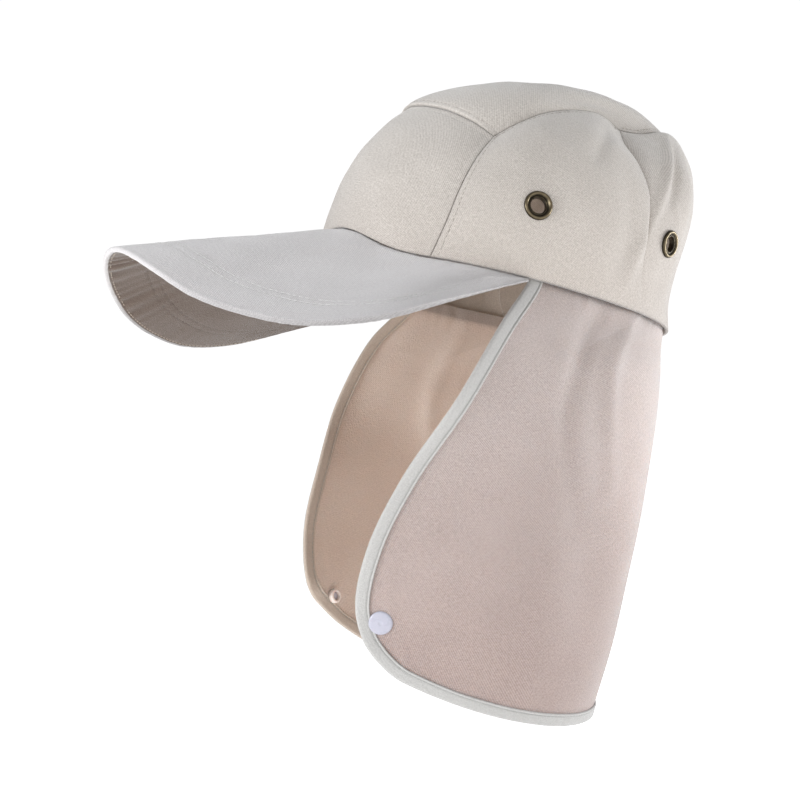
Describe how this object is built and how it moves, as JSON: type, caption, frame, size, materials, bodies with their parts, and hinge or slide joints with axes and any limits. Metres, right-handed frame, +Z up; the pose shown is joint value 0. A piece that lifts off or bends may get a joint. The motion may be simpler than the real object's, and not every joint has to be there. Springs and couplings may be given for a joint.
{
  "type": "sun hat with neck flap",
  "caption": "Sun hat with a low panelled cloth crown, vent eyelets, a long arched brim and a neck flap with bound edges and press snaps.",
  "frame": {"origin": "middle of the head opening, level with the crown's lower edge at the temples, where the hat sits on a head", "axes": "+Z up, -Y the way the brim points, +X towards the wearer's left; the crown and brim are tipped back by 14 degrees and the flap hangs straight down"},
  "size_m": [0.2322, 0.3316, 0.347],
  "materials": {
    "crown_cloth": "matt cotton twill, pale beige grey",
    "brim_top_cloth": "matt cotton twill, pale grey",
    "brim_under_cloth": "matt cotton twill, taupe",
    "flap_cloth": "matt cotton twill, pale pinkish beige",
    "binding_tape": "folded woven tape, pale grey",
    "eyelet_metal": "antique brass, satin",
    "snap_cap_plastic": "white moulded plastic",
    "snap_socket_plastic": "milky moulded plastic"
  },
  "bodies": {
    "root": {"crown_front_panel": "crown_cloth", "crown_top_panel": "crown_cloth", "crown_side_panel_left": "crown_cloth", "crown_side_panel_right": "crown_cloth", "crown_back_panel": "crown_cloth", "eyelet_side_left": "eyelet_metal", "eyelet_side_right": "eyelet_metal", "eyelet_back_left": "eyelet_metal", "eyelet_back_right": "eyelet_metal", "brim_top_cover": "brim_top_cloth", "brim_under_cover": "brim_under_cloth", "neck_flap": "flap_cloth", "flap_binding": "binding_tape", "snap_cap_left": "snap_cap_plastic", "snap_cap_right": "snap_cap_plastic", "snap_socket_left": "snap_socket_plastic", "snap_socket_right": "snap_socket_plastic"}
  },
  "joints": []
}
